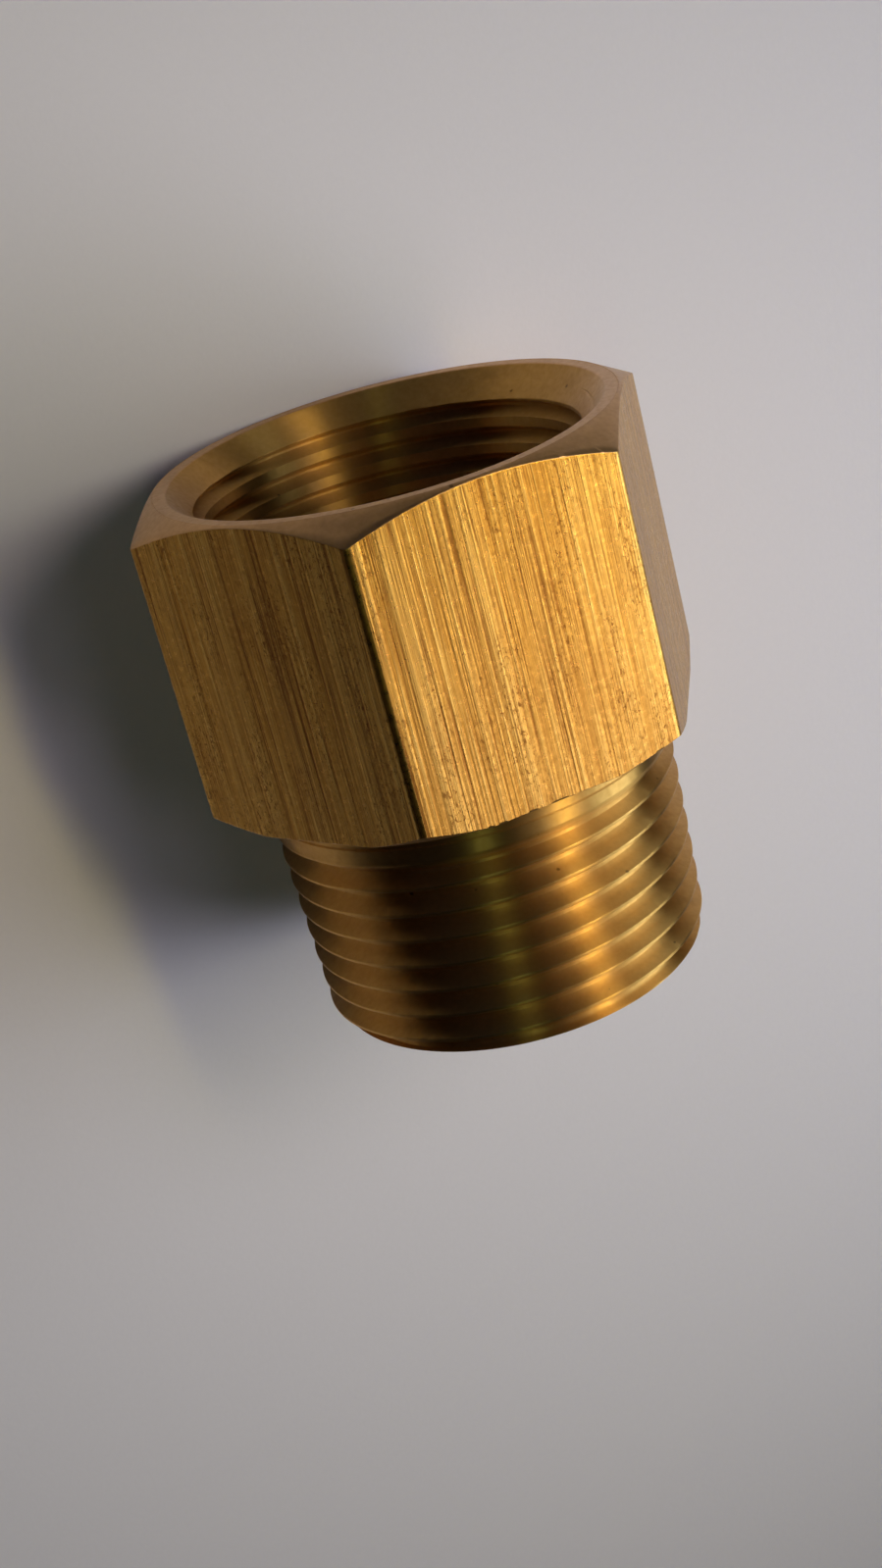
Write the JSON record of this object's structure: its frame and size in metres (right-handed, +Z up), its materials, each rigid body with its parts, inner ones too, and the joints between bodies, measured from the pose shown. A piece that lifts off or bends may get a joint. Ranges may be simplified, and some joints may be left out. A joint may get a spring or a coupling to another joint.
{
  "type": "pipe thread adapter",
  "caption": "Hexagonal brass pipe adapter lying on one flat, with a parallel female pipe thread at one end and a taper male pipe thread at the other.",
  "frame": {"origin": "middle of the footprint on the surface that the part lies on, one flat of the hexagon down", "axes": "+Z up, square to the flat that it lies on; +Y along the axis of both threads, from the female mouth to the male end; two corners of the hexagon point to +X and -X"},
  "size_m": [0.0436, 0.0468, 0.038],
  "materials": {
    "brass": "satin"
  },
  "bodies": {
    "root": {"adapter_body": "brass"}
  },
  "joints": []
}
